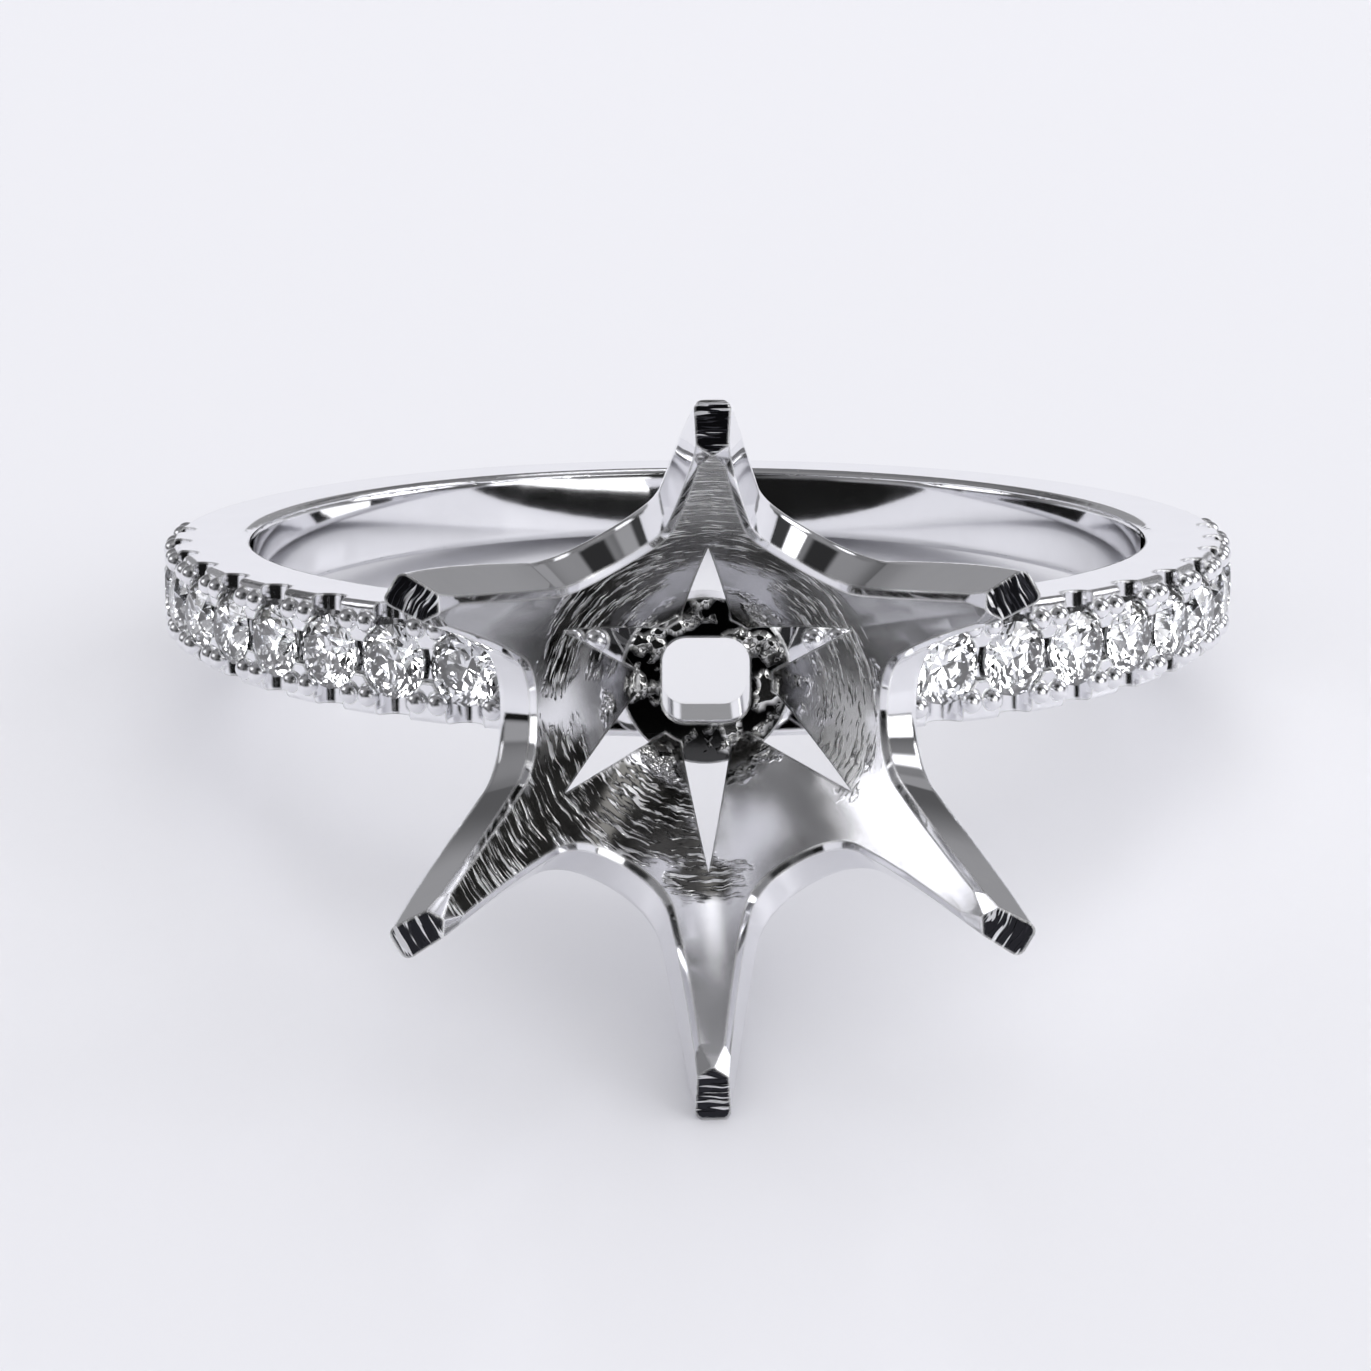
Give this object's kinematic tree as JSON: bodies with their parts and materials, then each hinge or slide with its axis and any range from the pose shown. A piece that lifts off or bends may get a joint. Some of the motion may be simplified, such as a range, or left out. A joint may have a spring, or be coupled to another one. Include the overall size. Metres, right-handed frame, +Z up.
{
  "type": "semi mount ring setting",
  "caption": "Ring setting lying on its side: tapered band, shoulders set with small brilliants, and an empty flared prong head for a round centre stone.",
  "frame": {"origin": "on the surface the ring lies on, under the middle of its bounding box", "axes": "+Z up; +Y from the open mouth of the head towards the back of the hoop; the head points along -Y, raised a little; the hoop's own axis leans from +Z towards +Y"},
  "size_m": [0.0206, 0.0278, 0.0114],
  "materials": {
    "white_gold": "polished white gold, file marks left inside the cup and on the cut prong tips",
    "brilliant": "clear polished facets"
  },
  "bodies": {
    "root": {"ring_setting": "white_gold", "stone_left_01": "brilliant", "stone_left_02": "brilliant", "stone_left_03": "brilliant", "stone_left_04": "brilliant", "stone_left_05": "brilliant", "stone_left_06": "brilliant", "stone_left_07": "brilliant", "stone_left_08": "brilliant", "stone_left_09": "brilliant", "stone_left_10": "brilliant", "stone_right_01": "brilliant", "stone_right_02": "brilliant", "stone_right_03": "brilliant", "stone_right_04": "brilliant", "stone_right_05": "brilliant", "stone_right_06": "brilliant", "stone_right_07": "brilliant", "stone_right_08": "brilliant", "stone_right_09": "brilliant", "stone_right_10": "brilliant"}
  },
  "joints": []
}
